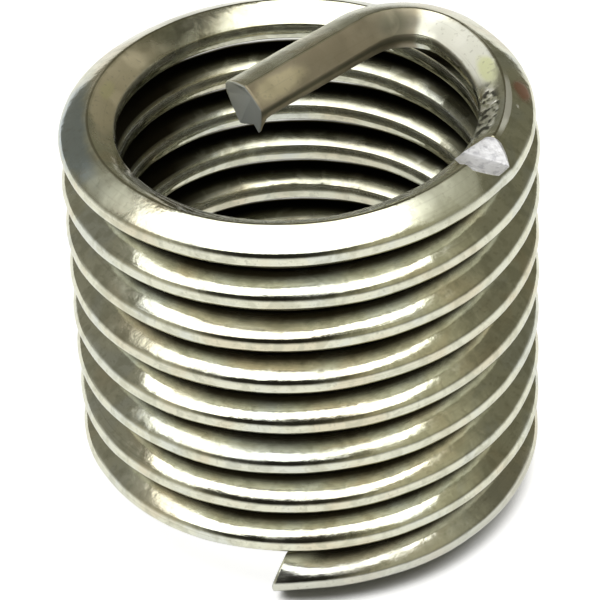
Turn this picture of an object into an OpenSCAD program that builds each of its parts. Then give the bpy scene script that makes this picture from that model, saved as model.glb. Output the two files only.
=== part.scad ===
// Wire thread insert: one stainless wire of diamond section, wound as a right-hand coil.
// The coil's outer edges screw into a tapped hole and its inner edges are the thread for a screw.
// At the top the wire passes a break-off notch, leaves the coil and turns across the bore as a tang.
// The axis is +Z, the origin is the middle of the lower face, and the front is -Y.

/* [Thread] */
// Nominal diameter of the screw that the insert takes
thread_diameter = 16; // [15:0.1:20]
// Distance between neighbouring turns
pitch = 2; // [1.6:0.05:2.1]
// How much wider the free coil is than it is in its hole
free_growth = 0.16; // [0:0.02:0.8]
// Turns from the lower end of the wire to the notch
coil_turns = 8.184; // [4:0.002:12]
// Direction of the lower end of the wire, seen from above
lower_end_angle = -100; // [-180:5:180]

/* [Wire] */
// Angle between the two flanks of a thread edge
thread_angle = 60; // [56:1:62]
// Gap between neighbouring turns, as a share of the pitch
gap_share = 0.125; // [0.1:0.005:0.2]
// Reach of the rounded outer edge from the wire's middle, as a share of the pitch
outer_reach_share = 0.58; // [0.52:0.01:0.64]
// Reach of the flat inner edge from the wire's middle, as a share of the pitch
inner_reach_share = 0.52; // [0.46:0.01:0.56]
// Width of the dulled ridges above and below
ridge_width = 0.06; // [0.04:0.01:0.12]

/* [Notch] */
// Depth of the notch, as a share of the wire's height
notch_depth_share = 0.3; // [0.15:0.01:0.3]
// Length of the notch along the ridge
notch_length = 2.04; // [1.4:0.02:2.4]
// Length of the notch's floor
notch_floor = 0.7; // [0.3:0.02:1]
// How far the wire beyond the notch hangs below the coil's line
notch_sag = 0.12; // [0:0.01:0.12]

/* [Tang] */
// Radius of the arc that leads from the notch to the bend, as a share of the coil's middle radius
lead_radius_share = 0.86; // [0.8:0.01:0.95]
// How far the wire turns along that arc
lead_turn = 73.5; // [60:0.5:80]
// Radius of the bend, as a share of the coil's middle radius
bend_radius_share = 0.325; // [0.25:0.005:0.4]
// How far the wire turns in the bend
bend_turn = 95; // [85:1:100]
// Straight length beyond the bend, as a share of the coil's middle radius
tang_length_share = 0.79; // [0.5:0.01:0.85]
// Rise of the wire beyond the notch for each millimetre of its length
tang_rise = 0.04; // [0.035:0.001:0.06]
// Roll of the tang about its own length, which lifts its outer edge
tang_roll = 11.5; // [0:0.5:15]

/* [Fineness] */
// Straight steps in one turn of the coil
steps_per_turn = 56; // [36:1:60]

/* [Hidden] */
most_coil_steps = 480;
flank_angle = thread_angle / 2;
wire_height = pitch * (1 - gap_share);
outer_reach = pitch * outer_reach_share;
inner_reach = pitch * inner_reach_share;
coil_radius = (thread_diameter + free_growth) / 2;
edge_angles = [-1, -0.5, 0, 0.5, 1] * (90 - flank_angle);
// Where the flanks would meet if no edge were rounded or flat
sharp_reach = ridge_width / 2 + wire_height / 2 / tan(flank_angle);
edge_radius = (sharp_reach - outer_reach) / (1 / sin(flank_angle) - 1);
edge_centre = outer_reach - edge_radius;
inner_flat = 2 * (sharp_reach - inner_reach) * tan(flank_angle);
notch_depth = notch_depth_share * wire_height;
lead_radius = lead_radius_share * coil_radius;
bend_radius = bend_radius_share * coil_radius;
tang_length = tang_length_share * coil_radius;
lead_length = lead_radius * lead_turn * PI / 180;
bend_length = bend_radius * bend_turn * PI / 180;
notch_angle = lower_end_angle + 360 * coil_turns;
notch_height = wire_height / 2 + pitch * coil_turns;
coil_step = 360 / min(steps_per_turn, floor(most_coil_steps / coil_turns));
lead_step = 4;
bend_step = 8;

function clamp(value, low, high) = min(max(value, low), high);
function along(angle) = [cos(angle), sin(angle)];

// The section's corners as [outward, up], anticlockwise from the lower end of the outer edge
function section(cut) =
    let (
        top = wire_height / 2 - cut,
        half_top = ridge_width / 2 + cut / tan(flank_angle)
    )
    concat(
        [for (a = edge_angles) [edge_centre, 0] + edge_radius * along(a)],
        [
            [half_top, top],
            [-half_top, top],
            [-inner_reach, inner_flat / 2],
            [-inner_reach, -inner_flat / 2],
            [-ridge_width / 2, -wire_height / 2],
            [ridge_width / 2, -wire_height / 2]
        ]
    );

// Depth of the notch, and how much of the sag has built up, at a distance along the wire from its middle
function cut_at(s) =
    notch_depth * clamp((notch_length / 2 - abs(s)) / (notch_length / 2 - notch_floor / 2), 0, 1);
function sag_at(s) = notch_sag * clamp(s / notch_floor + 0.5, 0, 1);

// A place on the wire as [middle, outward direction, roll, cut]. Angles count from the notch.
function coil_place(a) =
    let (s = a * PI / 180 * coil_radius, d = notch_angle + a)
    [concat(coil_radius * along(d), notch_height + pitch * a / 360 - sag_at(s)), d, 0, cut_at(s)];

lead_centre = (coil_radius - lead_radius) * along(notch_angle);
function lead_place(a) =
    let (s = a * PI / 180 * lead_radius, d = notch_angle + a)
    [
        concat(lead_centre + lead_radius * along(d), notch_height + tang_rise * s - sag_at(s)),
        d, 0, cut_at(s)
    ];

bend_angle = notch_angle + lead_turn;
bend_centre = lead_centre + (lead_radius - bend_radius) * along(bend_angle);
tang_height = notch_height - notch_sag + tang_rise * lead_length;
function bend_place(a) =
    let (s = a * PI / 180 * bend_radius, d = bend_angle + a)
    [
        concat(bend_centre + bend_radius * along(d), tang_height + tang_rise * s),
        d, tang_roll * a / bend_turn, 0
    ];

tang_angle = bend_angle + bend_turn;
tang_end =
    [
        concat(
            bend_centre + bend_radius * along(tang_angle) + tang_length * along(tang_angle + 90),
            tang_height + tang_rise * (bend_length + tang_length)
        ),
        tang_angle, tang_roll, 0
    ];

// The corners at one place. The section stands upright in the plane across the wire, then rolls.
function ring(place) =
    [
        for (p = section(place[3]))
            let (
                out = p[0] * cos(place[2]) - p[1] * sin(place[2]),
                up = p[0] * sin(place[2]) + p[1] * cos(place[2])
            )
            place[0] + concat(out * along(place[1]), up)
    ];

// Angle that a distance along an arc covers
function arc_angle(s, radius) = s / radius * 180 / PI;
notch_stops = [notch_floor / 2, (notch_floor + notch_length) / 4, notch_length / 2];
coil_notch_stops = [for (i = [2, 1, 0]) -arc_angle(notch_stops[i], coil_radius)];
lead_notch_stops = [for (s = notch_stops) arc_angle(s, lead_radius)];
coil_end = coil_notch_stops[0] - coil_step / 2;
coil_count = floor((360 * coil_turns + coil_end) / coil_step);
lead_start = lead_notch_stops[2];
lead_count = ceil((lead_turn - lead_start) / lead_step);
bend_count = ceil(bend_turn / bend_step);

places = concat(
    [for (i = [0:coil_count]) coil_place(-360 * coil_turns + i * coil_step)],
    [for (a = coil_notch_stops) coil_place(a)],
    [for (a = lead_notch_stops) lead_place(a)],
    [for (i = [1:lead_count]) lead_place(lead_start + (lead_turn - lead_start) * i / lead_count)],
    [for (i = [1:bend_count]) bend_place(bend_turn * i / bend_count)],
    [tang_end]
);

// Skin along the wire, through rings of equal count, with a flat face at each end
module swept_wire(rings) {
    count = len(rings[0]);
    last = count * (len(rings) - 1);
    sides = [
        for (i = [0:len(rings) - 2], j = [0:count - 1])
            let (a = i * count + j, b = i * count + (j + 1) % count)
            each [[a, b, b + count], [a, b + count, a + count]]
    ];
    ends = [
        [for (j = [count - 1:-1:0]) j],
        [for (j = [0:count - 1]) last + j]
    ];
    polyhedron(points = [for (r = rings) each r], faces = concat(sides, ends), convexity = 12);
}

module wire_coil() {
    color([0.72, 0.71, 0.66])
        swept_wire([for (p = places) ring(p)]);
}

wire_coil();
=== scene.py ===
"""The looks of a wire thread insert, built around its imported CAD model.

One stainless wire of diamond section runs up a right-hand coil, passes a break-off notch, leaves the
coil on a closer arc and turns across the bore as a tang. The fine wire made here replaces the CAD wire
and has its sizes, with rounded edges, rolling marks, fresh cut faces and the burrs of the cutter.
"""

import math

import bpy
import numpy as np
from mathutils import Matrix, Vector


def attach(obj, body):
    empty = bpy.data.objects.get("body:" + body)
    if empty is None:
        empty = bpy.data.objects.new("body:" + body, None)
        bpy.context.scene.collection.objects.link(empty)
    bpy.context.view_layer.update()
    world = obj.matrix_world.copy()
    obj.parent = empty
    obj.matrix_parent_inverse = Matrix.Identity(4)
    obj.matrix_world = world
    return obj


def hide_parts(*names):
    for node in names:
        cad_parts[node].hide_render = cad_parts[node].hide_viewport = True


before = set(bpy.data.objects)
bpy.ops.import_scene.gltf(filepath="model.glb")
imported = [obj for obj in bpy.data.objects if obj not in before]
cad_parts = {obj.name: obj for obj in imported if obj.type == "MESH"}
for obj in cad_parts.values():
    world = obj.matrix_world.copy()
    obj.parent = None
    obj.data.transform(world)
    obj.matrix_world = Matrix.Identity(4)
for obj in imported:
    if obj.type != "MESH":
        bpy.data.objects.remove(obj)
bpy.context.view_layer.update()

MM = 0.001
BODY = "root"
CAD_WIRE = "wire_coil"

# The thread and the wire's section, in millimetres and degrees, as in the part's source
PITCH = 2.0
COIL_RADIUS = 8.08
COIL_TURNS = 8.184
LOWER_END_ANGLE = -100.0
FLANK_NORMAL = 60.0
WIRE_HEIGHT = 1.75
RIDGE_WIDTH = 0.06
OUTER_REACH = 1.16
INNER_REACH = 1.04

# What rolling leaves on the section: edges with a gently crowned land between two shoulders, and crowned
# flanks. An edge is its reach, the angle that its land turns to either side, and its shoulders' radius.
OUTER_EDGE = (OUTER_REACH, 10.0, 0.4)
INNER_EDGE = (INNER_REACH, 25.0, 0.08)
FLANK_CROWN = 7.0
RIDGE_ROUND = 0.11

# The notch
NOTCH_DEPTH = 0.525
NOTCH_LENGTH = 2.04
NOTCH_FLOOR = 0.7
NOTCH_SAG = 0.12

# The arc beyond the notch, the bend and the straight tang
LEAD_RADIUS = 6.95
LEAD_TURN = 73.5
BEND_RADIUS = 2.626
BEND_TURN = 95.0
TANG_LENGTH = 6.38
TANG_RISE = 0.04
TANG_ROLL = 11.5

# The lower end, which the cutter leaves slanted and rolled outwards and down
END_BENT_LENGTH = 1.6
END_ROLL = -11.0
END_SLANT_MIDDLE = 0.2
END_SLANT = -0.41

# The tang's end, where the cutter pushed the outer edge back and drew a burr down from the inner edge
TANG_BURR_LENGTH = 0.5
TANG_SLANT = -0.24
TANG_RIDGE_DROP = 0.22
TANG_BURR_DROP = 0.55
# The burr starts this far in from the wire's middle and this far up, and eases in over this distance
BURR_INSIDE = 0.6
BURR_TOP = 0.1
BURR_EASE = 0.3

# The lip that the notch's cutter raised: its place along and round the wire, its reach and its height
NOTCH_LIP = (1.08, 3.25)
NOTCH_LIP_REACH = (0.14, 0.4)
NOTCH_LIP_HEIGHT = 0.07

# Waves of the skin: the seed of their draws, their lengths, their height for each millimetre of length, and
# the most turns that one makes round the section
WAVE_SEED = 11
WAVE_LENGTHS = [0.9, 1.4, 2.1, 3.3, 5.2, 8.0]
WAVE_TILT = 0.0011
MOST_TWIST = 3

# Where the painted shade of the groove and of the inner upper flank eases in, from 0 at the section's edge
# to 1 at its middle
BORE_SHADE = (0.42, 0.62)
LEFT_BORE_SHADE = (0.04, 0.14)
OUTER_SHADE = (0.74, 0.92)
UNDER_SHADE = (0.15, 0.65)
FLANK_SHADE = (0.16, 0.3)
# How far a direction points left where the bore's left side begins and where it is full
LEFT_SIDE = (0.25, 0.7)
# Length over which the painted shade ends on the first and last turn
GROOVE_SHADE_FADE = 1.5
# The darker band on the inner edge's land: its share, the heights where it eases in and out, and the land's
# top
LAND_DARKENING = 0.8
LAND_DARKENING_FOOT = (0.02, 0.08)
LAND_DARKENING_TOP = (0.29, 0.24)
LAND_TOP = 0.3
# Where marks ease in along the wire from the notch, round the section, or along the wire from its lower end
BROWN_ALONG = (10.1, 11.0)
BROWN_ROUND = (2.9, 3.1)
TANG_ALONG = (9.5, 12.5)
GREY_FROM_END = (16.0, 6.0)

# Soft spots of the marks: the place along the wire from the notch and round the section from the lower
# ridge, then the reach along and round
SOFT_SPOTS = {
    "inner_darkening": [((-28.8, 3.7), (2.2, 0.8)), ((11.7, 3.65), (1.2, 0.8))],
    "dull": [((-2.6, 2.4), (1.9, 1.0)), ((-16.3, 2.4), (1.9, 0.7))],
    "scar": [((2.9, 3.75), (2.0, 0.5))],
    "worn": [((3.2, 2.91), (2.4, 0.12))],
    "chip": [((3.25, 2.57), (0.13, 0.09))],
    "sand": [((18.3, 3.65), (1.4, 0.5))],
    # Painted highlight: a paler, rougher spot on the inner flank near the bend
    "pale_highlight": [((7.3, 3.65), (3.2, 0.7))],
    "straw": [((5.5, 3.45), (1.0, 0.45))],
    "rust": [((4.3, 2.3), (0.6, 0.42))],
    "tan": [((-23.0, 3.7), (4.5, 0.8))],
    "gleam": [((-22.8, 3.55), (0.7, 0.3))],
    "blue": [((-20.0, 2.3), (3.5, 0.7))],
}

# Fineness of the mesh: degrees along the wire, and points round the parts of its section
COIL_STEP = 2.5
BEND_STEP = 3.0
TANG_STEP = 0.25
EDGE_STOPS = np.array([0.0, 0.05, 0.12])
LAND_POINTS = 4
SHOULDER_POINTS = 6
FLANK_POINTS = 8
CORNER_POINTS = 4
NOTCH_RAMP_STOPS = 7
END_BEVEL = 0.07
# How far past the wire's end the UV map lays its two end faces
END_FACE_GAP = 10

FLANK_REACH = RIDGE_WIDTH / 2 * math.cos(math.radians(FLANK_NORMAL)) \
    + WIRE_HEIGHT / 2 * math.sin(math.radians(FLANK_NORMAL))
FLANK_START = FLANK_NORMAL - FLANK_CROWN


def unit(degrees):
    """The direction at an angle in the plane: its cosine and its sine."""
    angle = np.radians(degrees)
    return np.stack([np.cos(angle), np.sin(angle)], axis=-1)


def arc(centre, radius, first, last, points):
    """Points of an arc, at equal angles between two normals. The centre and the normals may differ in each
    section."""
    first, last = np.atleast_1d(first)[:, None], np.atleast_1d(last)[:, None]
    normals = unit(first + (last - first) * np.linspace(0, 1, points))
    return np.asarray(centre)[..., None, :] + radius * normals


def rounded_edge(reach, land_half_angle, shoulder_round):
    """The upper half of an edge, from its middle to the flank, and the flank's first point.

    The land is an arc about a point on the middle line, and the shoulder an arc that touches it where the
    normal is at the land's half angle, and ends on the flank's straight chord with the flank's first
    normal. The place on the chord and the land's radius solve the two linear equations that this gives.
    """
    slope, land = math.radians(FLANK_NORMAL), math.radians(land_half_angle)
    spare = shoulder_round * unit(FLANK_START) - FLANK_REACH * unit(FLANK_NORMAL)
    sides = [[math.sin(slope), 1 - math.cos(land)], [-math.cos(slope), -math.sin(land)]]
    along, gap = np.linalg.solve(sides, spare + [reach - shoulder_round, 0])
    flank_end = FLANK_REACH * unit(FLANK_NORMAL) + along * unit(FLANK_NORMAL - 90)
    radius = gap + shoulder_round
    flat = arc([reach - radius, 0], radius, 0, land_half_angle, LAND_POINTS)
    shoulder = arc(flank_end - shoulder_round * unit(FLANK_START), shoulder_round,
                   land_half_angle, FLANK_START, SHOULDER_POINTS)
    return np.concatenate([flat, shoulder[:, 1:]], axis=1), flank_end


def half(edge, flank_end, cut):
    """One upper quarter of the section at every place: an edge, a crowned flank and half of the ridge.

    The flank is an arc over its straight chord, which turns the normal by FLANK_CROWN either side of 60
    degrees. The ridge's corner is an arc of RIDGE_ROUND that touches the flank and the top, which the cut
    lowers.
    """
    ridge_end_up = WIRE_HEIGHT / 2 - RIDGE_ROUND * (1 - math.sin(math.radians(FLANK_NORMAL + FLANK_CROWN)))
    normal = unit(FLANK_NORMAL)
    ridge_end = np.array([(FLANK_REACH - normal[1] * ridge_end_up) / normal[0], ridge_end_up])
    crown = math.radians(FLANK_CROWN)
    radius = np.linalg.norm(flank_end - ridge_end) / (2 * math.sin(crown))
    centre = (flank_end + ridge_end) / 2 - radius * math.cos(crown) * normal
    top = WIRE_HEIGHT / 2 - cut
    meet = np.degrees(np.arcsin((top - RIDGE_ROUND - centre[1]) / (radius - RIDGE_ROUND)))
    flank = arc(centre, radius, FLANK_START, meet, FLANK_POINTS)
    ridge = arc(centre + (radius - RIDGE_ROUND) * unit(meet), RIDGE_ROUND, meet, 90, CORNER_POINTS)
    edge = np.broadcast_to(edge, (len(cut),) + edge.shape[1:])
    return np.concatenate([edge, flank[:, 1:], ridge[:, 1:]], axis=1)


def section(cut):
    """The wire's section at every place, as distances outwards and upwards from the wire's middle.

    It runs anticlockwise from the lower ridge, through the outer edge, the upper ridge and the inner edge.
    Only the upper ridge is cut.
    """
    whole = np.zeros(1)
    lower_out, upper_out = (half(*rounded_edge(*OUTER_EDGE), depth) for depth in (whole, cut))
    lower_in, upper_in = (half(*rounded_edge(*INNER_EDGE), depth) for depth in (whole, cut))
    lower_out, lower_in = (np.broadcast_to(part, (len(cut),) + part.shape[1:])
                           for part in (lower_out, lower_in))
    return np.concatenate([lower_out[:, :0:-1] * [1, -1], upper_out, upper_in[:, :0:-1] * [-1, 1],
                           lower_in * [-1, -1]], axis=1)


def degrees_of(length, radius):
    """The angle that a length covers on an arc."""
    return np.degrees(length / radius)


def notch_stops():
    """Distances from the notch's middle where its faces begin and end, with a close pair at each edge."""
    near = EDGE_STOPS[1]
    edges = np.array([NOTCH_FLOOR / 2, NOTCH_LENGTH / 2])
    between = np.linspace(NOTCH_FLOOR / 2, NOTCH_LENGTH / 2, NOTCH_RAMP_STOPS)[1:-1]
    return np.sort(np.concatenate([edges - near, edges, edges + near, between, [NOTCH_FLOOR / 6]]))


def cut_at(length):
    """Depth of the notch at a distance from its middle: full over its floor, then a straight ramp to none."""
    ramp = (NOTCH_LENGTH / 2 - np.abs(length)) / (NOTCH_LENGTH / 2 - NOTCH_FLOOR / 2)
    return NOTCH_DEPTH * np.clip(ramp, 0, 1)


def sag_at(length):
    """How far the weakened wire has dropped, growing over the notch's floor."""
    return NOTCH_SAG * np.clip(length / NOTCH_FLOOR + 0.5, 0, 1)


def end_share(length):
    """How much of the lower end's bend a place has: 1 at the end, easing to 0 at END_BENT_LENGTH."""
    return np.clip(1 - (length - length[0]) / END_BENT_LENGTH, 0, 1) ** 2


def wire_path():
    """The wire's middle line from the lower end to the tang's end.

    The coil is a helix: a circle of COIL_RADIUS that rises by PITCH in a turn. The arc, the bend and the
    straight tang follow it tangent to tangent, rise by TANG_RISE for each millimetre, and the bend rolls
    the section. Returns the middles, the outward directions, rolls, cuts and lengths along the wire.
    """
    notch_angle = LOWER_END_ANGLE + 360 * COIL_TURNS
    notch_height = WIRE_HEIGHT / 2 + PITCH * COIL_TURNS
    stops = notch_stops()

    coil_stops = degrees_of(-stops[::-1], COIL_RADIUS)
    coil_count = int((360 * COIL_TURNS + coil_stops[0]) / COIL_STEP - 0.5)
    end_stops = degrees_of(EDGE_STOPS, COIL_RADIUS)
    angle = np.concatenate([end_stops, np.arange(1, coil_count + 1) * COIL_STEP]) - 360 * COIL_TURNS
    angle = np.concatenate([angle, coil_stops])
    length = np.radians(angle) * COIL_RADIUS
    flat = COIL_RADIUS * unit(notch_angle + angle)
    height = notch_height + PITCH * angle / 360 - sag_at(length)
    coil = (flat, height, notch_angle + angle, END_ROLL * end_share(length), length)

    lead_stops = degrees_of(stops, LEAD_RADIUS)
    lead_count = int((LEAD_TURN - lead_stops[-1]) / COIL_STEP)
    angle = np.concatenate([lead_stops, np.linspace(lead_stops[-1], LEAD_TURN, lead_count + 1)[1:]])
    length = np.radians(angle) * LEAD_RADIUS
    lead_centre = (COIL_RADIUS - LEAD_RADIUS) * unit(notch_angle)
    flat = lead_centre + LEAD_RADIUS * unit(notch_angle + angle)
    height = notch_height - sag_at(length) + TANG_RISE * length
    lead = (flat, height, notch_angle + angle, 0 * angle, length)

    bend_angle = notch_angle + LEAD_TURN
    bend_centre = lead_centre + (LEAD_RADIUS - BEND_RADIUS) * unit(bend_angle)
    angle = np.linspace(0, BEND_TURN, int(BEND_TURN / BEND_STEP) + 1)[1:]
    length = lead[4][-1] + np.radians(angle) * BEND_RADIUS
    flat = bend_centre + BEND_RADIUS * unit(bend_angle + angle)
    height = notch_height - NOTCH_SAG + TANG_RISE * length
    bend = (flat, height, bend_angle + angle, TANG_ROLL * angle / BEND_TURN, length)

    tang_angle = bend_angle + BEND_TURN
    reach = np.arange(1, int(TANG_LENGTH / TANG_STEP)) * TANG_STEP
    reach = np.concatenate([reach, TANG_LENGTH - EDGE_STOPS[::-1]])
    length = bend[4][-1] + reach
    flat = bend[0][-1] + reach[:, None] * unit(tang_angle + 90)
    height = notch_height - NOTCH_SAG + TANG_RISE * length
    tang = (flat, height, tang_angle + 0 * reach, TANG_ROLL + 0 * reach, length)

    flat, height, outward, roll, length = [np.concatenate(part) for part in zip(coil, lead, bend, tang)]
    return np.column_stack([flat, height]), outward, roll, cut_at(length), length


def spot(length, around, place, reach):
    """A soft spot on the skin, 1 at its place along and round the wire and falling off as a bell curve."""
    along = (length[:, None] - place[0]) / reach[0]
    across = (around[None] - place[1]) / reach[1]
    return np.exp(-along ** 2 - across ** 2)


def unevenness(length, around):
    """Slight waves that rolling and coiling leave, in millimetres: a sum of sines along and round the wire,
    with heights in proportion to their lengths so that all tilt the skin alike."""
    draw = np.random.default_rng(WAVE_SEED)
    total = 0
    for wave in WAVE_LENGTHS:
        phase, twist = draw.uniform(0, 2 * math.pi), draw.integers(-MOST_TWIST, MOST_TWIST + 1)
        turn = 2 * math.pi * (length[:, None] / wave + twist * around[None] / around[-1]) + phase
        total = total + WAVE_TILT * wave * np.sin(turn)
    return total


def outline_of(shape):
    """The plain section's distances round it and its normals, which are its tangents turned by a quarter."""
    step = np.linalg.norm(np.roll(shape, -1, axis=0) - shape, axis=1)
    around = np.concatenate([[0], np.cumsum(step)])
    tangent = np.roll(shape, -1, axis=0) - np.roll(shape, 1, axis=0)
    normal = np.stack([tangent[:, 1], -tangent[:, 0]], axis=1)
    return around, normal / np.linalg.norm(normal, axis=1, keepdims=True)


def wire_grid():
    """Every point of the wire's skin, as rings of equal count, in millimetres.

    A point is the middle, plus its rolled section distance outwards along the outward direction, plus the
    rolled distance upwards. The section is moved along its normals by the unevenness, by the notch's lip
    and, at both ends, by a bevel. Both ends are slanted: a point moves along the wire in proportion to its
    distance out. The burr lowers the points of the tang's last piece, most at the inner edge's underside.
    """
    middle, outward, roll, cut, length = wire_path()
    plain = section(np.zeros(1))[0]
    around, normal = outline_of(plain)
    bevel = np.zeros(len(length))
    bevel[[0, -1]] = END_BEVEL
    lip = NOTCH_LIP_HEIGHT * spot(length, around[:-1], NOTCH_LIP, NOTCH_LIP_REACH)
    grow = unevenness(length, around[:-1]) + lip - bevel[:, None]
    shape = section(cut) + grow[..., None] * normal[None]
    slant = (END_SLANT_MIDDLE + END_SLANT * shape[..., 0]) * end_share(length)[:, None]
    tang_share = np.clip(1 - (length[-1] - length) / TANG_BURR_LENGTH, 0, 1)[:, None] ** 2
    slant = slant + tang_share * TANG_SLANT * np.clip(shape[..., 0], 0, None)
    below = np.clip(-shape[..., 1] / WIRE_HEIGHT * 2, 0, 1)
    inside = np.clip((-shape[..., 0] - BURR_INSIDE) / BURR_EASE, 0, 1) \
        * np.clip((BURR_TOP - shape[..., 1]) / BURR_EASE, 0, 1)
    burr = tang_share * np.maximum(TANG_RIDGE_DROP * below, TANG_BURR_DROP * inside)
    turn = np.radians(roll)[:, None]
    out = shape[..., 0] * np.cos(turn) - shape[..., 1] * np.sin(turn)
    rise = shape[..., 0] * np.sin(turn) + shape[..., 1] * np.cos(turn)
    direction, forward = unit(outward), unit(outward + 90)
    points = np.stack([middle[:, 0, None] + out * direction[:, 0, None] + slant * forward[:, 0, None],
                       middle[:, 1, None] + out * direction[:, 1, None] + slant * forward[:, 1, None],
                       middle[:, 2, None] + rise - burr], axis=-1)
    return points, length, plain, around


def eased(value, low, high):
    """0 up to low, 1 from high, and a straight line between them."""
    return np.clip((value - low) / (high - low), 0, 1)


def skin_marks(outline, length, around):
    """How much of each mark each point of the skin has, from 0 to 1.

    The groove's painted shade eases in with the distance from the edge, at once on a lower flank and only
    near the ridge on an upper one. It counts only where a turn lies above an upper flank, or below a lower
    one, so it darkens the skin where a neighbouring turn shades it. The inner darkening covers the inner
    edge's upper half and, more thinly, the flank above it; on the flank it is painted shade that counts only
    where a turn lies above, and it has soft spots of its own. On the coil's left side the bore is painted
    with shade almost from its inner edges. Cut faces are the notch's, where the point is near the lowered
    top, and the rings at both ends. The lowest turn is greyer, and the wire beyond the bend is brown on its
    inner side and a little duller all round. The rest are soft spots, one of them a painted highlight, each
    mark being the strongest of its own.
    """
    out, up = outline[:, 0], outline[:, 1]
    inner = out < 0
    deep = 1 - np.abs(out) / np.where(inner, INNER_REACH, OUTER_REACH)
    turn = 2 * math.pi * COIL_RADIUS
    turns_above = eased(-length, turn, turn + GROOVE_SHADE_FADE)[:, None]
    turns_below = eased(length - length[0], turn, turn + GROOVE_SHADE_FADE)[:, None]
    direction = LOWER_END_ANGLE + 360 * COIL_TURNS + degrees_of(length, COIL_RADIUS)
    on_left = eased(-unit(direction)[:, 0], *LEFT_SIDE)[:, None]
    # Painted shade: the groove darkens where a neighbouring turn shades it, and on the bore's left side
    # almost from the edge
    bore_shade = eased(deep, *BORE_SHADE) * (1 - on_left) + eased(deep, *LEFT_BORE_SHADE) * on_left
    upper_shade = np.where(inner, bore_shade, eased(deep, *OUTER_SHADE))
    painted_shade = np.where(up > 0, upper_shade * turns_above, eased(deep, *UNDER_SHADE) * turns_below)
    # Painted shade on the inner upper flank, only where a turn lies above it
    flank_shade = eased(deep, *FLANK_SHADE) * turns_above
    land_darkening = LAND_DARKENING * eased(up, *LAND_DARKENING_FOOT) * eased(up, *LAND_DARKENING_TOP) * np.ones_like(turns_above)
    inner_darkening = inner * (up > 0) * np.where(up > LAND_TOP, flank_shade, land_darkening)
    round_wire = around[:-1]
    marks = {label: np.max([spot(length, round_wire, place, reach) for place, reach in spots], axis=0)
             for label, spots in SOFT_SPOTS.items()}
    near_top = up > WIRE_HEIGHT / 2 - RIDGE_ROUND
    notch_face = near_top[None] & (np.abs(length) < NOTCH_LENGTH / 2)[:, None]
    sheared = np.zeros(notch_face.shape)
    sheared[[0, -1]] = 1
    marks.update({
        "painted_shade": painted_shade,
        "inner_darkening": np.maximum(inner_darkening, marks["inner_darkening"]),
        "notch_face": notch_face.astype(float),
        "sheared": sheared,
        "brown": eased(length, *BROWN_ALONG)[:, None] * eased(round_wire, *BROWN_ROUND)[None],
        "tang": np.broadcast_to(eased(length, *TANG_ALONG)[:, None], painted_shade.shape),
        "grey": np.broadcast_to(eased(length - length[0], *GREY_FROM_END)[:, None], painted_shade.shape),
    })
    return marks


def tube_mesh(name, points, length, outline, around):
    """A closed mesh through the rings, with a flat face at each end and a UV map in millimetres.

    U is the length along the wire and V the distance round the section, from the lower ridge.
    """
    rings, count = points.shape[:2]
    index = np.arange(rings * count).reshape(rings, count)
    right = np.roll(index, -1, axis=1)
    quads = np.stack([index[:-1], index[1:], right[1:], right[:-1]], axis=-1).reshape(-1, 4)
    u = np.broadcast_to(length[:, None], (rings, count + 1))
    v = np.broadcast_to(around[None], (rings, count + 1))
    grid = np.stack([u, v], axis=-1)
    quad_uv = np.stack([grid[:-1, :-1], grid[1:, :-1], grid[1:, 1:], grid[:-1, 1:]], axis=2).reshape(-1, 2)
    mesh = bpy.data.meshes.new(name)
    faces = quads.tolist() + [index[0].tolist(), index[-1, ::-1].tolist()]
    mesh.from_pydata((points.reshape(-1, 3) * MM).tolist(), [], faces)
    layer = mesh.uv_layers.new(name="along_and_round")
    uv = np.zeros((len(mesh.loops), 2), np.float32)
    uv[:len(quad_uv)] = quad_uv
    uv[len(quad_uv):] = np.concatenate([outline, outline[::-1]]) + np.array([length[-1] + END_FACE_GAP, 0])
    layer.data.foreach_set("uv", uv.ravel())
    mesh.polygons.foreach_set("use_smooth", np.ones(len(mesh.polygons), bool))
    mesh.polygons[-1].use_smooth = False
    mesh.polygons[-2].use_smooth = False
    for label, values in skin_marks(outline, length, around).items():
        attribute = mesh.attributes.new(label, "FLOAT", "POINT")
        attribute.data.foreach_set("value", values.ravel().astype(np.float32))
    mesh.validate()
    return mesh


def shade(tree, kind, settings=None, **inputs):
    """Adds a shader node. Settings are its properties. An input that is a socket is linked, and any other
    is set as a value. An underscore in an input's name stands for a space, or leads its number."""
    node = tree.nodes.new("ShaderNode" + kind)
    for key, value in (settings or {}).items():
        setattr(node, key, value)
    for key, value in inputs.items():
        socket = node.inputs[int(key[1:])] if key[0] == "_" else node.inputs[key.replace("_", " ")]
        if isinstance(value, bpy.types.NodeSocket):
            tree.links.new(value, socket)
        else:
            socket.default_value = value
    return node


def smooth_step(tree, value, low, high, to_low=0.0, to_high=1.0):
    """Eases a value from to_low, at and below low, to to_high, at and above high."""
    return shade(tree, "MapRange", {"interpolation_type": "SMOOTHSTEP"}, _0=value, _1=low, _2=high,
                 _3=to_low, _4=to_high).outputs["Result"]


def joined(tree, operation, first, second):
    """Two values added, multiplied or otherwise joined by a plain operation."""
    return shade(tree, "Math", {"operation": operation}, _0=first, _1=second).outputs["Value"]


def mixed(tree, share, first, second):
    """A colour between two others."""
    return shade(tree, "Mix", {"data_type": "RGBA"}, _0=share, _6=first, _7=second).outputs[2]


def noise(tree, place, scale, detail, distortion=0.0):
    """A noise value about 0.5, with its scale in cycles per millimetre."""
    node = shade(tree, "TexNoise", Vector=place, Scale=scale, Detail=detail, Distortion=distortion)
    return node.outputs["Fac"]


def ray_kinds(tree):
    """Whether a ray comes from the camera, and whether it comes from metal or glass."""
    rays = shade(tree, "LightPath").outputs
    mirrored = joined(tree, "MAXIMUM", rays["Is Glossy Ray"], rays["Is Transmission Ray"])
    return rays["Is Camera Ray"], mirrored


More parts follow.
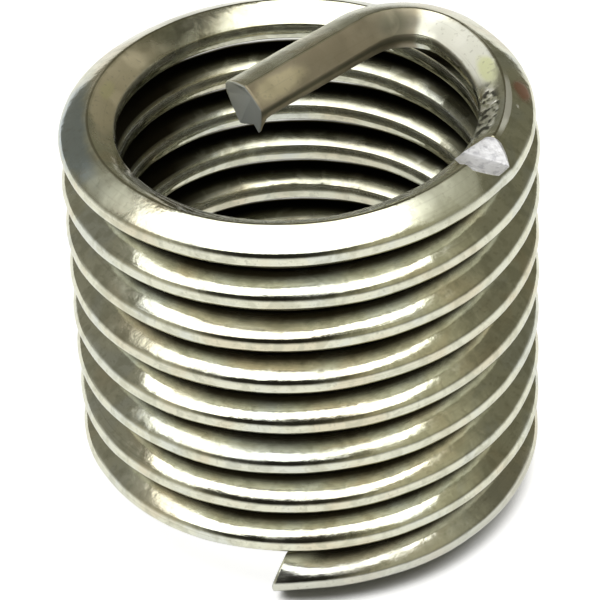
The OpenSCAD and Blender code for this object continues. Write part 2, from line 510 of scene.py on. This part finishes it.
CLEAN_STEEL = (0.79, 0.79, 0.64, 1)
WARM_STEEL = (0.75, 0.7, 0.53, 1)
COOL_STEEL = (0.74, 0.76, 0.67, 1)
OLIVE_SHADE = (0.45, 0.45, 0.33, 1)
DARK_SPECK = (0.3, 0.28, 0.19, 1)
# Dark tone of the inner darkening: painted shade on the inner upper flanks under a turn, and a darker band on
# the inner land
INNER_DARK_TONE = (0.16, 0.157, 0.11, 1)
# Near black: painted shade in the grooves between turns
PAINTED_GROOVE_SHADE = (0.018, 0.015, 0.009, 1)
STRAW = (0.84, 0.87, 0.52, 1)
RUST = (0.5, 0.25, 0.16, 1)
TAN = (0.88, 0.79, 0.58, 1)
GLEAM = (0.9, 0.85, 0.55, 1)
BLUE_GREY = (0.42, 0.5, 0.55, 1)
# Greyer tone of the lowest turn
LOWEST_TURN_GREY = (0.6, 0.61, 0.56, 1)
CHIP = (0.95, 0.95, 0.88, 1)
SCAR_PIT = (0.05, 0.05, 0.04, 1)
SAND = (0.8, 0.72, 0.5, 1)
BROWN = (0.41, 0.35, 0.25, 1)
# Painted highlight: a near-white tone for the pale highlight spot
PAINTED_HIGHLIGHT_TONE = (0.96, 0.96, 0.89, 1)
DULL = (0.62, 0.63, 0.5, 1)
FRESH_STEEL = (0.86, 0.86, 0.88, 1)
FRESH_SHADE = (0.66, 0.66, 0.69, 1)
SHEARED_STEEL = (0.5, 0.52, 0.5, 1)

# Noises of the steel: cycles per millimetre, detail and distortion. The drawn lines are stretched instead.
PATCH_NOISE = (0.32, 3.0, 0.6)
BLOT_NOISE = (1.1, 3.0, 0.8)
LINE_NOISE = (1.0, 3.0)
LINE_STRETCH = (0.12, 9.0, 1.0)
SPECK_NOISE = (5.5, 2.0)
GRIT_NOISE = (3.2, 6.0)
MOTTLE_NOISE = (1.7, 3.0, 0.5)
ROUGH_NOISE = (0.45, 2.0)
SWELL_NOISE = (1.3, 2.0)

# Values of a noise or a mark between which each look comes in, then its share before and after them
WARM_RANGE = (0.48, 0.64)
COOL_RANGE = (0.46, 0.34)
OLIVE_RANGE = (0.56, 0.36, 0.0, 0.4)
SPECK_RANGE = (0.4, 0.3, 0.0, 0.2)
LINE_RANGE = (0.45, 0.3, 0.0, 0.15)
ROUGH_RANGE = (0.5, 0.62)
DARKENING_WEAR = (0.35, 0.5, 0.75, 1.0)
SCAR_RANGE = (0.25, 0.6)
SCAR_CHIPS = (0.5, 0.58)
SCAR_PITS = (0.5, 0.42, 0.0, 0.9)
WORN_RANGE = (0.25, 0.5, 0.0, 0.9)
CHIP_RANGE = (0.3, 0.6)
SHEARED_RANGE = (0.4, 0.6)
FRESH_RANGE = (0.35, 0.65)
TORN_RANGE = (0.5, 0.36)
# The dark line on the ridge: distances from its middle, and its share at them
RIDGE_LINE = (0.07, 0.03, 0.0, 0.75)

# The spots' colours with how much of each shows, how far the blots break their outlines, and where a broken
# spot begins and is full
SPOT_TONES = (("brown", 0.9, BROWN), ("pale_highlight", 0.9, PAINTED_HIGHLIGHT_TONE), ("dull", 0.7, DULL), ("straw", 0.6, STRAW),
              ("rust", 0.9, RUST), ("tan", 0.85, TAN), ("gleam", 0.9, GLEAM), ("blue", 0.8, BLUE_GREY),
              ("sand", 0.8, SAND), ("grey", 0.6, LOWEST_TURN_GREY))
SPOT_BLOTS = 0.5
SPOT_EDGE = (0.45, 0.95)

# Roughness of smooth and of rough patches, and how much rougher each mark makes them
PLAIN_ROUGHNESS = (0.11, 0.2)
DARKENING_ROUGHER, GROOVE_SHADE_ROUGHER, SCAR_ROUGHER, FRESH_ROUGHER = 0.1, 0.2, 0.2, 0.5
SHEARED_ROUGHER, BARE_ROUGHER, TANG_ROUGHER = 0.25, 0.4, 0.14
SPOTS_ROUGHER = (("brown", 0.25), ("pale_highlight", 0.6), ("dull", 0.3), ("tan", 0.4), ("straw", 0.3), ("rust", 0.3))

# Heights of the fine relief, in millimetres. The specks' is that of smooth and of rough patches.
SWELL_HEIGHT = 0.008
LINE_HEIGHT = 0.0015
MOTTLE_HEIGHT = 0.007
SPECK_HEIGHTS = (0.0006, 0.004)
SCAR_HEIGHT = 0.12
FRESH_HEIGHT = 0.07


def steel(ridge_around):
    """Bright rolled stainless wire, with tan and grey patches, drawn lines, specks, painted shade in the
    grooves and a painted highlight.
    """
    material = bpy.data.materials.new("bright_stainless_wire")
    material.use_nodes = True
    tree = material.node_tree
    shader = tree.nodes["Principled BSDF"]
    metres = shade(tree, "TexCoord").outputs["Object"]
    place = shade(tree, "VectorMath", {"operation": "SCALE"}, Vector=metres, Scale=1 / MM).outputs["Vector"]
    uv = shade(tree, "UVMap", {"uv_map": "along_and_round"}).outputs["UV"]
    along = shade(tree, "Mapping", Vector=uv, Scale=LINE_STRETCH).outputs["Vector"]

    def mark(label):
        return shade(tree, "Attribute", {"attribute_name": label}).outputs["Fac"]

    painted_shade, inner_darkening, notch_face, sheared = (mark(label) for label in ("painted_shade", "inner_darkening", "notch_face", "sheared"))
    patches = noise(tree, place, *PATCH_NOISE)
    blots = noise(tree, place, *BLOT_NOISE)
    lines = noise(tree, along, *LINE_NOISE)
    specks = noise(tree, place, *SPECK_NOISE)
    grit = noise(tree, place, *GRIT_NOISE)
    mottle = noise(tree, place, *MOTTLE_NOISE)
    rough_patch = smooth_step(tree, noise(tree, place, *ROUGH_NOISE), *ROUGH_RANGE)

    colour = mixed(tree, smooth_step(tree, patches, *WARM_RANGE), CLEAN_STEEL, WARM_STEEL)
    colour = mixed(tree, smooth_step(tree, patches, *COOL_RANGE), colour, COOL_STEEL)
    colour = mixed(tree, smooth_step(tree, mottle, *OLIVE_RANGE), colour, OLIVE_SHADE)
    spots = {}
    for label, share, tone in SPOT_TONES:
        broken = joined(tree, "ADD", mark(label), joined(tree, "MULTIPLY", blots, SPOT_BLOTS))
        spots[label] = smooth_step(tree, broken, *SPOT_EDGE, 0.0, share)
        colour = mixed(tree, spots[label], colour, tone)
    colour = mixed(tree, smooth_step(tree, specks, *SPECK_RANGE), colour, DARK_SPECK)
    colour = mixed(tree, smooth_step(tree, lines, *LINE_RANGE), colour, DARK_SPECK)
    # Painted shade on the inner upper flanks under a turn, and a darker band on the inner land, broken by
    # blots
    worn_darkening = joined(tree, "MULTIPLY", inner_darkening, smooth_step(tree, blots, *DARKENING_WEAR))
    colour = mixed(tree, worn_darkening, colour, INNER_DARK_TONE)
    # Painted shade in the grooves between turns
    colour = mixed(tree, painted_shade, colour, PAINTED_GROOVE_SHADE)
    across = shade(tree, "SeparateXYZ", _0=uv).outputs["Y"]
    off_ridge = joined(tree, "ABSOLUTE", joined(tree, "SUBTRACT", across, ridge_around), 0.0)
    colour = mixed(tree, smooth_step(tree, off_ridge, *RIDGE_LINE), colour, DARK_SPECK)
    scar = smooth_step(tree, mark("scar"), *SCAR_RANGE)
    chips = joined(tree, "MULTIPLY", scar, smooth_step(tree, grit, *SCAR_CHIPS))
    pits = joined(tree, "MULTIPLY", scar, smooth_step(tree, grit, *SCAR_PITS))
    colour = mixed(tree, pits, colour, SCAR_PIT)
    bare = joined(tree, "MAXIMUM", smooth_step(tree, mark("worn"), *WORN_RANGE),
                  smooth_step(tree, mark("chip"), *CHIP_RANGE))
    colour = mixed(tree, joined(tree, "MAXIMUM", chips, bare), colour, CHIP)
    colour = mixed(tree, smooth_step(tree, sheared, *SHEARED_RANGE), colour, SHEARED_STEEL)
    fresh = smooth_step(tree, notch_face, *FRESH_RANGE)
    torn = mixed(tree, smooth_step(tree, grit, *TORN_RANGE), FRESH_STEEL, FRESH_SHADE)
    colour = mixed(tree, fresh, colour, torn)
    tree.links.new(colour, shader.inputs["Base Color"])

    roughness = smooth_step(tree, rough_patch, 0.0, 1.0, *PLAIN_ROUGHNESS)
    rougher = [(inner_darkening, DARKENING_ROUGHER), (painted_shade, GROOVE_SHADE_ROUGHER), (scar, SCAR_ROUGHER), (fresh, FRESH_ROUGHER),
               (sheared, SHEARED_ROUGHER), (bare, BARE_ROUGHER), (mark("tang"), TANG_ROUGHER)]
    for value, share in rougher + [(spots[label], share) for label, share in SPOTS_ROUGHER]:
        roughness = joined(tree, "ADD", roughness, joined(tree, "MULTIPLY", value, share))
    tree.links.new(roughness, shader.inputs["Roughness"])

    height = joined(tree, "MULTIPLY", noise(tree, place, *SWELL_NOISE), SWELL_HEIGHT)
    grain_height = smooth_step(tree, rough_patch, 0.0, 1.0, *SPECK_HEIGHTS)
    cut_height = joined(tree, "ADD", joined(tree, "MULTIPLY", scar, SCAR_HEIGHT),
                        joined(tree, "MULTIPLY", fresh, FRESH_HEIGHT))
    for value, share in ((lines, LINE_HEIGHT), (specks, grain_height), (grit, cut_height),
                         (mottle, MOTTLE_HEIGHT)):
        height = joined(tree, "ADD", height, joined(tree, "MULTIPLY", value, share))
    bump = shade(tree, "Bump", Height=height, Distance=MM)
    tree.links.new(bump.outputs["Normal"], shader.inputs["Normal"])
    shader.inputs["Metallic"].default_value = 1.0
    return material


points, length, outline, around = wire_grid()
wire = bpy.data.objects.new("wire", tube_mesh("wire", points, length, outline, around))
bpy.context.scene.collection.objects.link(wire)
wire.data.materials.append(steel(float(around[np.argmax(outline[:, 1])])))
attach(wire, BODY)
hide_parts(CAD_WIRE)

# The camera, from the photograph's perspective. Lengths are in millimetres.
CREST_RADIUS = 9.23
CAMERA_DISTANCE = 15.45 * CREST_RADIUS
CAMERA_ELEVATION = 37.83
AIM_HEIGHT = 10.03
AIM_LOWER = 0.69
AIM_LEFT = 0.13
CAMERA_ROLL = -2.61
LENS = 216.9
SENSOR = 36.0
# The nearest thing that the camera sees, in metres
CLIP_START = 0.01


def place_camera():
    """The camera stands in front, raised by its elevation, and looks at the coil's upper half."""
    camera = bpy.data.objects.new("camera", bpy.data.cameras.new("camera"))
    camera.data.sensor_width = SENSOR
    camera.data.lens = LENS
    camera.data.clip_start = CLIP_START
    raise_by = math.radians(CAMERA_ELEVATION)
    down = math.radians(CAMERA_ELEVATION + AIM_LOWER)
    left = math.radians(AIM_LEFT)
    ahead = Vector((-math.sin(left) * math.cos(down), math.cos(left) * math.cos(down), -math.sin(down)))
    right = ahead.cross(Vector((0, 0, 1))).normalized()
    above = right.cross(ahead)
    roll = math.radians(CAMERA_ROLL)
    across = math.cos(roll) * right + math.sin(roll) * above
    upright = math.cos(roll) * above - math.sin(roll) * right
    turn = Matrix((across, upright, -ahead)).transposed().to_4x4()
    back, lift = CAMERA_DISTANCE * math.cos(raise_by), CAMERA_DISTANCE * math.sin(raise_by)
    stand = Vector((0, -back, AIM_HEIGHT + lift))
    camera.matrix_world = Matrix.Translation(stand * MM) @ turn
    bpy.context.scene.collection.objects.link(camera)
    bpy.context.scene.camera = camera


def softbox(name, width, depth, centre, turn, brightness):
    """A level oval soft lamp above the object, turned by some degrees seen from above. Its power is the
    brightness that a mirror shows, times its area and pi."""
    lamp = bpy.data.lights.new(name, "AREA")
    lamp.shape = "ELLIPSE"
    lamp.size = width
    lamp.size_y = depth
    lamp.energy = brightness * math.pi * math.pi / 4 * width * depth
    holder = bpy.data.objects.new(name, lamp)
    holder.matrix_world = Matrix.Translation(Vector(centre)) @ Matrix.Rotation(math.radians(turn), 4, "Z")
    holder.visible_camera = False
    bpy.context.scene.collection.objects.link(holder)


LEFT_WALL = (0.225, 0.217, 0.18, 1)
RIGHT_WALL = (0.165, 0.158, 0.115, 1)
# How far right a direction points where the left wall ends and where the right one is whole
WALL_CHANGE = (-0.6, 0.3)
# Places in the room as azimuth from the front to the right and elevation in degrees, then the widest and
# the closest angle from them between which they grow, and how many times brighter they make the wall
DARK_FRONT = (-22, 44, 42, 18, 0.08)
LIGHT_LEFT = (-66, 25, 34, 10, 2.0)
LIGHT_RIGHT = (42, 52, 42, 6, 2.8)
# How far up and how far back a direction points where the floor's white ends and where it is whole
SWEEP_UP = (0.42, -0.05)
SWEEP_BACK = (0.65, 0.3)
WHITE = (1, 1, 1, 1)

# The floor: half its width in metres, how close in millimetres the wire shades it, and the shares of open
# sky at which the shade is full and gone
FLOOR_HALF_WIDTH = 3.0
SHADE_REACH = 1.2
SHADE_EDGE = (0.3, 0.75)
SHADE_SAMPLES = 16
FLOOR_SHADED = (0.4, 0.4, 0.4, 1)
FLOOR_OPEN = (0.5, 0.5, 0.5, 1)
FLOOR_ROUGHNESS = 0.8
# The floor's glow to the camera, metal and glass, and how much more of it the camera sees
FLOOR_GLOW = 0.62
FLOOR_GLOW_CAMERA = 0.25


def room():
    """A dim room, paler on its left, with darker and paler places. In the metal its foot fades into the
    floor's white, except at the back, and the camera sees only that white past the floor."""
    world = bpy.data.worlds.new("room")
    bpy.context.scene.world = world
    world.use_nodes = True
    tree = world.node_tree
    direction = shade(tree, "TexCoord").outputs["Generated"]
    axes = shade(tree, "SeparateXYZ", _0=direction).outputs
    colour = mixed(tree, smooth_step(tree, axes["X"], *WALL_CHANGE), LEFT_WALL, RIGHT_WALL)
    strength = None
    for azimuth, elevation, widest, closest, share in (DARK_FRONT, LIGHT_LEFT, LIGHT_RIGHT):
        turn, tilt = math.radians(azimuth), math.radians(elevation)
        axis = (math.sin(turn) * math.cos(tilt), -math.cos(turn) * math.cos(tilt), math.sin(tilt))
        near = shade(tree, "VectorMath", {"operation": "DOT_PRODUCT"}, _0=direction, _1=axis).outputs["Value"]
        bounds = [math.cos(math.radians(angle)) for angle in (widest, closest)]
        change = smooth_step(tree, near, *bounds, 1.0, share)
        strength = change if strength is None else joined(tree, "MULTIPLY", change, strength)
    walls = tree.nodes["Background"]
    tree.links.new(colour, walls.inputs["Color"])
    tree.links.new(strength, walls.inputs["Strength"])
    white = shade(tree, "Background", Color=WHITE, Strength=1.0)
    camera_ray, mirrored = ray_kinds(tree)
    low = joined(tree, "MULTIPLY", smooth_step(tree, axes["Z"], *SWEEP_UP),
                 smooth_step(tree, axes["Y"], *SWEEP_BACK))
    seen = joined(tree, "MAXIMUM", camera_ray, joined(tree, "MULTIPLY", mirrored, low))
    mix = shade(tree, "MixShader", _0=seen, _1=walls.outputs["Background"], _2=white.outputs["Background"])
    tree.links.new(mix.outputs["Shader"], tree.nodes["World Output"].inputs["Surface"])


def pale_floor():
    """A plain floor at the part's lowest point. It is white to the camera and in the metal, and keeps the
    part's shadow, which is darkest close to the wire."""
    edge = FLOOR_HALF_WIDTH
    corners = [(-edge, -edge, 0), (edge, -edge, 0), (edge, edge, 0), (-edge, edge, 0)]
    mesh = bpy.data.meshes.new("floor")
    mesh.from_pydata(corners, [], [(0, 1, 2, 3)])
    floor = bpy.data.objects.new("floor", mesh)
    bpy.context.scene.collection.objects.link(floor)
    material = bpy.data.materials.new("pale_floor")
    material.use_nodes = True
    tree = material.node_tree
    shader = tree.nodes["Principled BSDF"]
    open_sky = shade(tree, "AmbientOcclusion", {"samples": SHADE_SAMPLES}, Distance=SHADE_REACH * MM)
    clear = smooth_step(tree, open_sky.outputs["AO"], *SHADE_EDGE)
    tree.links.new(mixed(tree, clear, FLOOR_SHADED, FLOOR_OPEN), shader.inputs["Base Color"])
    shader.inputs["Roughness"].default_value = FLOOR_ROUGHNESS
    shader.inputs["Specular IOR Level"].default_value = 0.0
    shader.inputs["Emission Color"].default_value = WHITE
    camera_ray, mirrored = ray_kinds(tree)
    seen = joined(tree, "MAXIMUM", camera_ray, mirrored)
    brightness = joined(tree, "ADD", joined(tree, "MULTIPLY", seen, FLOOR_GLOW),
                        joined(tree, "MULTIPLY", camera_ray, FLOOR_GLOW_CAMERA))
    glow = joined(tree, "MULTIPLY", brightness, clear)
    tree.links.new(glow, shader.inputs["Emission Strength"])
    mesh.materials.append(material)


def studio():
    """A pale floor, one large soft lamp above and a dim room round them."""
    softbox("overhead_softbox", width=1.68, depth=0.88, centre=(-0.27, -0.04, 1.0), turn=-11, brightness=2.3)
    room()
    pale_floor()


place_camera()
studio()
bpy.context.scene.view_settings.view_transform = "Standard"
